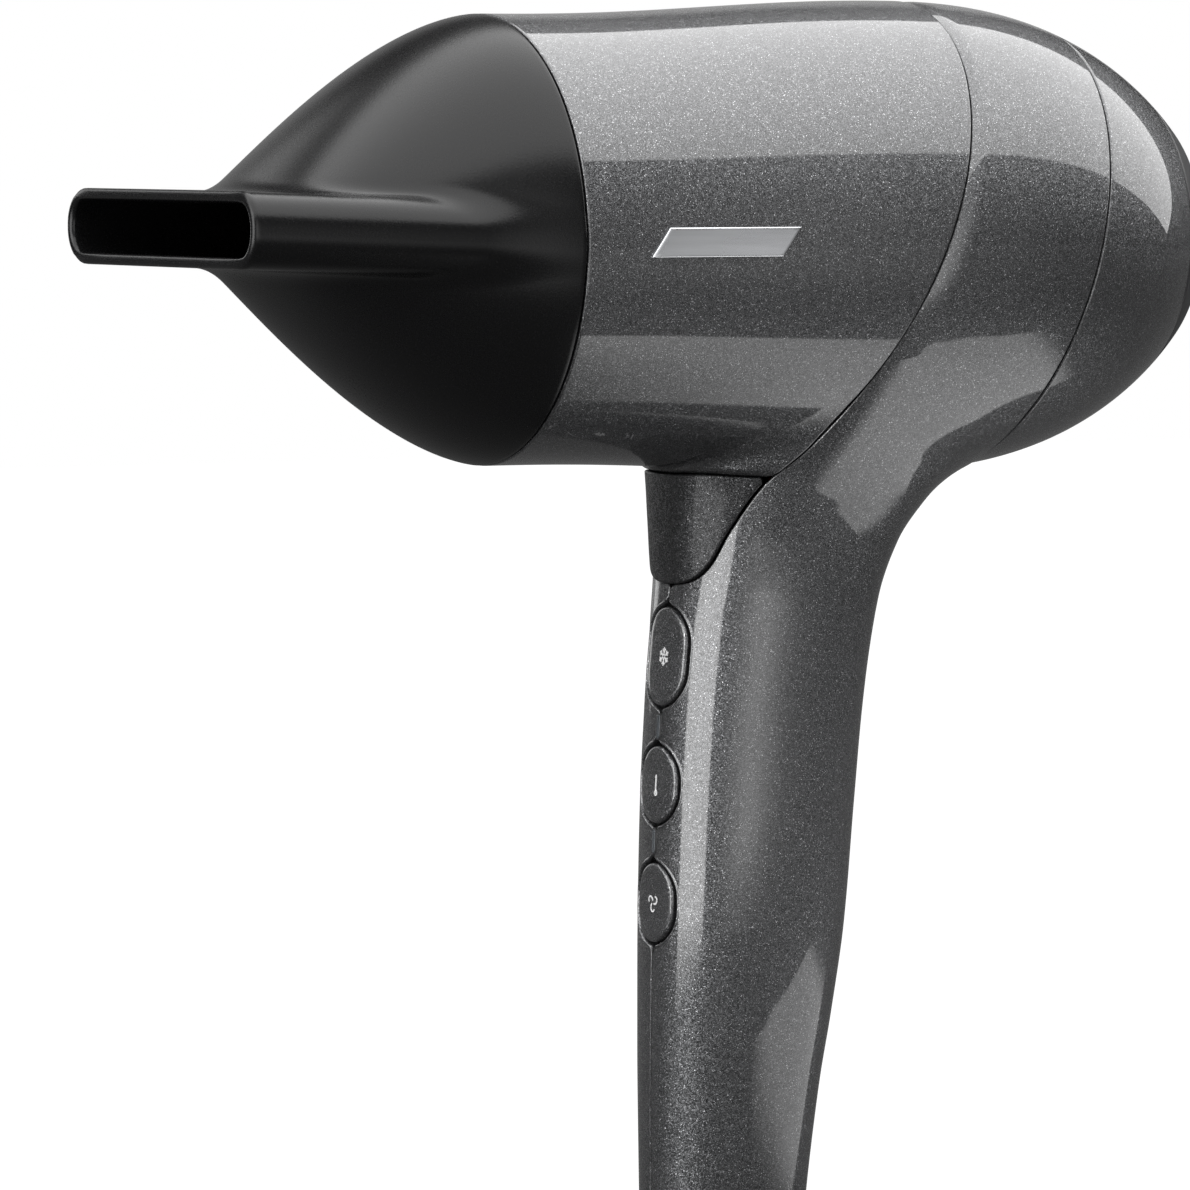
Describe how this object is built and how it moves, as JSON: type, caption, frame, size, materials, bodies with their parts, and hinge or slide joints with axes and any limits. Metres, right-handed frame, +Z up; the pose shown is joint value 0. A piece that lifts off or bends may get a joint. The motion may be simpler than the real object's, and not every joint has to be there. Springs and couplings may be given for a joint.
{
  "type": "hair dryer",
  "caption": "Hand-held hair dryer: flaring graphite barrel on a straight handle, a flat turning concentrator nozzle, front handle buttons and a pull-off intake filter.",
  "frame": {"origin": "under the middle of the overall length, on the plane of symmetry, at the level of the handle's end face", "axes": "+X along the barrel from the nozzle's mouth to the intake, +Y across to the dryer's right side, +Z up from the handle's end to the barrel"},
  "size_m": [0.2118, 0.0894, 0.2367],
  "materials": {
    "paint": "dark graphite metallic paint with fine flakes under a clear coat",
    "nozzle_plastic": "fine-grained satin black",
    "black_plastic": "satin black",
    "inner_plastic": "heat-resistant dark grey, matt",
    "rubber": "matt",
    "satin_metal": "satin silver",
    "plated_steel": "plated",
    "mica": "mica sheet",
    "heating_wire": "heat-tinted resistance wire",
    "foam": "foam",
    "brass": "sintered",
    "rotor_steel": "laminations and copper windings",
    "circuit_board": "solder-masked board",
    "filter_wire": "woven wire",
    "lens": "smoked clear",
    "lead_red": "insulation",
    "lead_blue": "insulation"
  },
  "bodies": {
    "housing": {"barrel_shell": "paint", "housing_left": "paint", "housing_right": "paint", "neck_insert": "paint", "rear_cap": "paint", "badge_plate": "satin_metal", "handle_end_cap": "black_plastic", "cord_bush": "rubber", "cord_clamp": "inner_plastic", "outlet_spigot": "inner_plastic", "outlet_grille": "inner_plastic", "heater_tube": "mica", "heater_board_flat": "mica", "heater_board_upright": "mica", "heater_coil_front": "heating_wire", "heater_coil_rear": "heating_wire", "thermostat": "plated_steel", "thermal_fuse": "plated_steel", "fan_duct": "inner_plastic", "duct_seal": "foam", "motor_can": "plated_steel", "motor_end_plate": "inner_plastic", "motor_bush_front": "brass", "motor_bush_rear": "brass", "rectifier_board": "circuit_board", "intake_guard": "inner_plastic", "button_carrier": "inner_plastic", "control_board": "circuit_board", "lead_live": "lead_red", "lead_neutral": "lead_blue", "cord_clamp_screw_1": "plated_steel", "housing_screw_1": "plated_steel", "indicator_lens_1": "lens", "cord_clamp_screw_2": "plated_steel", "housing_screw_2": "plated_steel", "indicator_lens_2": "lens", "cool_shot_spring": "plated_steel", "cool_shot_switch": "inner_plastic", "temperature_spring": "plated_steel", "temperature_switch": "inner_plastic", "speed_spring": "plated_steel", "speed_switch": "inner_plastic"},
    "nozzle_collar": {"nozzle_collar": "nozzle_plastic"},
    "nozzle": {"concentrator_nozzle": "nozzle_plastic"},
    "fan": {"fan_impeller": "inner_plastic", "motor_rotor": "rotor_steel", "motor_shaft": "plated_steel"},
    "filter": {"filter_cover": "black_plastic", "filter_mesh": "filter_wire"},
    "cool_shot_button": {"cool_shot_button": "paint"},
    "temperature_button": {"temperature_button": "paint"},
    "speed_button": {"speed_button": "paint"}
  },
  "joints": [
    {"name": "nozzle_pull", "type": "slide", "parent": "housing", "child": "nozzle_collar", "axis": [-1, 0, 0], "range_m": [0, 0.032]},
    {"name": "nozzle_turn", "type": "hinge", "parent": "nozzle_collar", "child": "nozzle", "pos_m": [-0.0404, 0, 0.192], "axis": [-1, 0, 0], "continuous": true},
    {"name": "fan_spin", "type": "hinge", "parent": "housing", "child": "fan", "pos_m": [0.07, 0, 0.192], "axis": [1, 0, 0], "continuous": true},
    {"name": "filter_pull", "type": "slide", "parent": "housing", "child": "filter", "axis": [1, 0, 0], "range_m": [0, 0.025]},
    {"name": "cool_shot_press", "type": "slide", "parent": "housing", "child": "cool_shot_button", "axis": [1, 0, 0], "range_m": [0, 0.0012], "stiffness_N_per_m": 700, "deforming": ["cool_shot_spring"]},
    {"name": "temperature_press", "type": "slide", "parent": "housing", "child": "temperature_button", "axis": [1, 0, 0], "range_m": [0, 0.0012], "stiffness_N_per_m": 700, "deforming": ["temperature_spring"]},
    {"name": "speed_press", "type": "slide", "parent": "housing", "child": "speed_button", "axis": [1, 0, 0], "range_m": [0, 0.0012], "stiffness_N_per_m": 700, "deforming": ["speed_spring"]}
  ]
}
